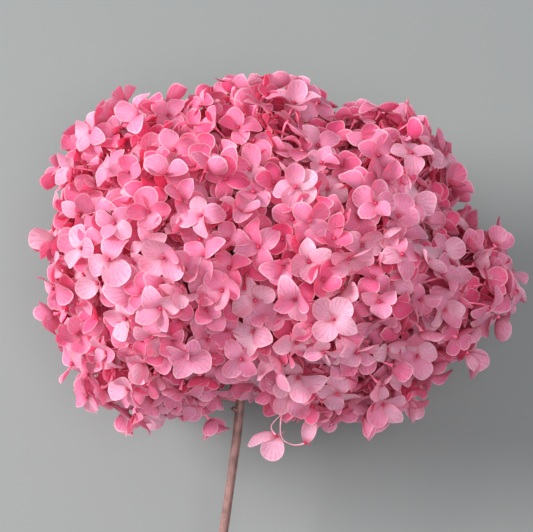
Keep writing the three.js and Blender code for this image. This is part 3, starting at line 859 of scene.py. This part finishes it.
def set_down(piece):
    """Where sepals reach the table they bend along it instead of going through."""
    mesh = piece.data
    places = np.empty(len(mesh.vertices) * 3, dtype=np.float32)
    mesh.vertices.foreach_get("co", places)
    heights = places[2::3]
    low = heights < TABLE_SOFT
    heights[low] = TABLE_SOFT * np.exp((heights[low] - TABLE_SOFT) / TABLE_SOFT)
    mesh.vertices.foreach_set("co", places)
    mesh.update()


floret_values = {"Shapes": shape_box, "Bud": float(BUD), "Petal": petal, "Bud Skin": bud_skin}
for node, cluster in clusters.items():
    rows = floret_points(cluster["florets"], random.Random(node))
    florets = grown(node + "_florets", drawn_points(node, rows), floret_tree, floret_values)
    set_down(florets)
    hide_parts(node)
    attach(florets, "root")

# ------------------------------------------------------------------------------------------------
# Hanging cluster
# Two florets that have dropped below the head on long thin arched pedicels, one with three sepals
# and one with two. They are still joined to the head by the side branch that carries them.

LIE_ANGLE = math.radians(20)
HANGING_BOW = Vector((0.003, 0, 0))
HANGING_SAG = Vector((0, -0.0022, 0))
HANGING_BUD = 0.0015

hanging_cad = welded("cyme_hanging")
hanging_florets, hanging_rest = read_florets(hanging_cad)
hanging_cad.free()
hanging_florets.sort(key=lambda floret: floret["eye"].x)
left_eye, right_eye = (floret["eye"] for floret in hanging_florets)
hanging_end = max(hanging_rest, key=lambda p: (p - right_eye).length)
hanging_hub = left_eye.lerp(hanging_end, 0.8)
hanging_lines = [
    [
        left_eye,
        left_eye.lerp(hanging_hub, 0.3) - HANGING_BOW,
        left_eye.lerp(hanging_hub, 0.7),
        hanging_hub,
    ],
    [
        right_eye,
        right_eye.lerp(left_eye, 0.45) + HANGING_SAG,
        right_eye.lerp(left_eye, 0.85) - HANGING_SAG * 0.3,
        hanging_hub,
    ],
]
hanging_radii = (PEDICEL_THICK, PEDICEL_THICK * 0.48, PEDICEL_THICK * 0.48, PEDICEL_THICK)
hanging_skin = bark_material(
    "hanging pedicel skin", (0.86, 0.42, 0.52, 1), (0.74, 0.26, 0.36, 1), (0.55, 0.08, 0.15, 1), 2.0, 0.50
)
hanging_stalks = grown(
    "cyme_hanging_stalks",
    drawn_lines("hanging lines", [list(zip(line, hanging_radii)) for line in hanging_lines]),
    stalk_tree,
    {"Sides": 8, "Step": 0.0012, "Wrinkle": 0.00005, "Bark": hanging_skin},
)

# One row per sepal, (floret, its way across the face, length, breadth, roll about its length, shape)
HANGING_SEPALS = [
    (0, (-0.98, -0.08, -0.10), 0.0124, 0.0066, 0.75, 4),
    (0, (-0.26, -0.92, -0.30), 0.0108, 0.0106, 0.1, 5),
    (0, (0.45, 0.25, -0.85), 0.0060, 0.0056, 0.3, 0),
    (1, (0.24, 0.92, 0.30), 0.0110, 0.0084, -0.1, 2),
    (1, (0.30, 0.35, -0.90), 0.0050, 0.0046, -0.4, 0),
]
front_side = Vector((0, -math.sin(LIE_ANGLE), math.cos(LIE_ANGLE)))
hanging_rows = []
for which, way, long, broad, roll, shape in HANGING_SEPALS:
    way = Vector(way).normalized()
    across = front_side.cross(way).normalized()
    frame_of = Matrix((way, across, way.cross(across))).transposed()
    turn = (frame_of @ Matrix.Rotation(roll, 3, "X")).to_euler()
    # Painted light: the hanging sepals get the palest tint, as they hang lit below the head.
    hanging_rows.append((hanging_florets[which]["eye"], turn, (long, broad, long), shape, 0.0))
for floret in hanging_florets:
    turn = floret["facing"].to_track_quat("Z", "Y").to_euler()
    place = floret["eye"] + floret["facing"] * 0.0003
    hanging_rows.append((place, turn, (HANGING_BUD,) * 3, BUD, 0.5))
hanging = grown("cyme_hanging_florets", drawn_points("hanging", hanging_rows), floret_tree, floret_values)
for piece in (hanging_stalks, hanging):
    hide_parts("cyme_hanging")
    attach(piece, "root")
for shape in list(shape_box.objects):
    bpy.data.objects.remove(shape)
bpy.data.collections.remove(shape_box)

# ------------------------------------------------------------------------------------------------
# Fertile sprigs
# The true flowers, long over: short red-brown stalks that end in small dry knobs, deep among the
# pedicels. They grew on the rays and are brittle now.

fertile_skin = bark_material(
    "spent fertile skin", (0.42, 0.06, 0.10, 1), (0.22, 0.03, 0.04, 1), (0.10, 0.02, 0.02, 1), 2.4, 0.7
)
for node in ("sprig_fertile_1", "sprig_fertile_2"):
    cad = welded(node)
    bmesh.ops.recalc_face_normals(cad, faces=cad.faces)
    mesh = bpy.data.meshes.new(node + "_knobs")
    cad.to_mesh(mesh)
    cad.free()
    mesh.materials.append(fertile_skin)
    mesh.shade_smooth()
    sprig = shown(node + "_knobs", mesh)
    round_off = sprig.modifiers.new("round off", "SUBSURF")
    round_off.levels = round_off.render_levels = 2
    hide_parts(node)
    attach(sprig, "root")

# ------------------------------------------------------------------------------------------------
# Table, light and camera
# A plain pale table under a soft window-like light from the left, and a camera that looks down on
# the face of the head.

table_top = bpy.data.meshes.new("table")
table_top.from_pydata([(-3, -3, 0), (3, -3, 0), (3, 3, 0), (-3, 3, 0)], [], [(0, 1, 2, 3)])
table = shown("table", table_top)
table_paint, table_tree, table_output = new_material("table paint")
table_place = put(table_tree, "ShaderNodeTexCoord").outputs["Object"]
table_tone = blended(
    table_tree, grain(table_tree, table_place, 3.0), (0.20, 0.21, 0.205, 1), (0.225, 0.235, 0.23, 1)
)
table_surface = put(table_tree, "ShaderNodeBsdfPrincipled", {"Base Color": table_tone})
table_surface.inputs["Roughness"].default_value = 0.8
table_tree.links.new(table_surface.outputs[0], table_output.inputs["Surface"])
table_top.materials.append(table_paint)

LOOK_DOWN = math.radians(70)
CAMERA_BACK = 0.62
LENS = 94.0
head_spot = stem_tip + Vector((0.0104, 0.0419, 0.01525))
back = Vector((0, -math.cos(LOOK_DOWN), math.sin(LOOK_DOWN)))
camera = bpy.data.objects.new("camera", bpy.data.cameras.new("camera"))
bpy.context.scene.collection.objects.link(camera)
camera.data.lens = LENS
camera.location = head_spot + back * CAMERA_BACK
camera.rotation_euler = back.to_track_quat("Z", "Y").to_euler()
bpy.context.scene.camera = camera


def soft_light(name, place, size, power, colour):
    """A square lamp at a place measured from the middle of the head, turned towards it."""
    made = bpy.data.objects.new(name, bpy.data.lights.new(name, "AREA"))
    bpy.context.scene.collection.objects.link(made)
    made.data.size = size
    made.data.energy = power
    made.data.color = colour
    made.location = head_spot + Vector(place)
    made.rotation_euler = Vector(place).to_track_quat("Z", "Y").to_euler()
    return made


soft_light("window", (-1.9, 0.3, 1.45), 1.2, 97.0, (1.0, 0.98, 0.985))
soft_light("fill", (0.25, -0.84, 2.3), 1.1, 40.0, (0.98, 0.97, 1.0))
world = bpy.data.worlds.new("room")
world.use_nodes = True
world.node_tree.nodes["Background"].inputs["Color"].default_value = (0.80, 0.84, 0.88, 1)
world.node_tree.nodes["Background"].inputs["Strength"].default_value = 0.42
bpy.context.scene.world = world
bpy.context.scene.view_settings.view_transform = "Standard"
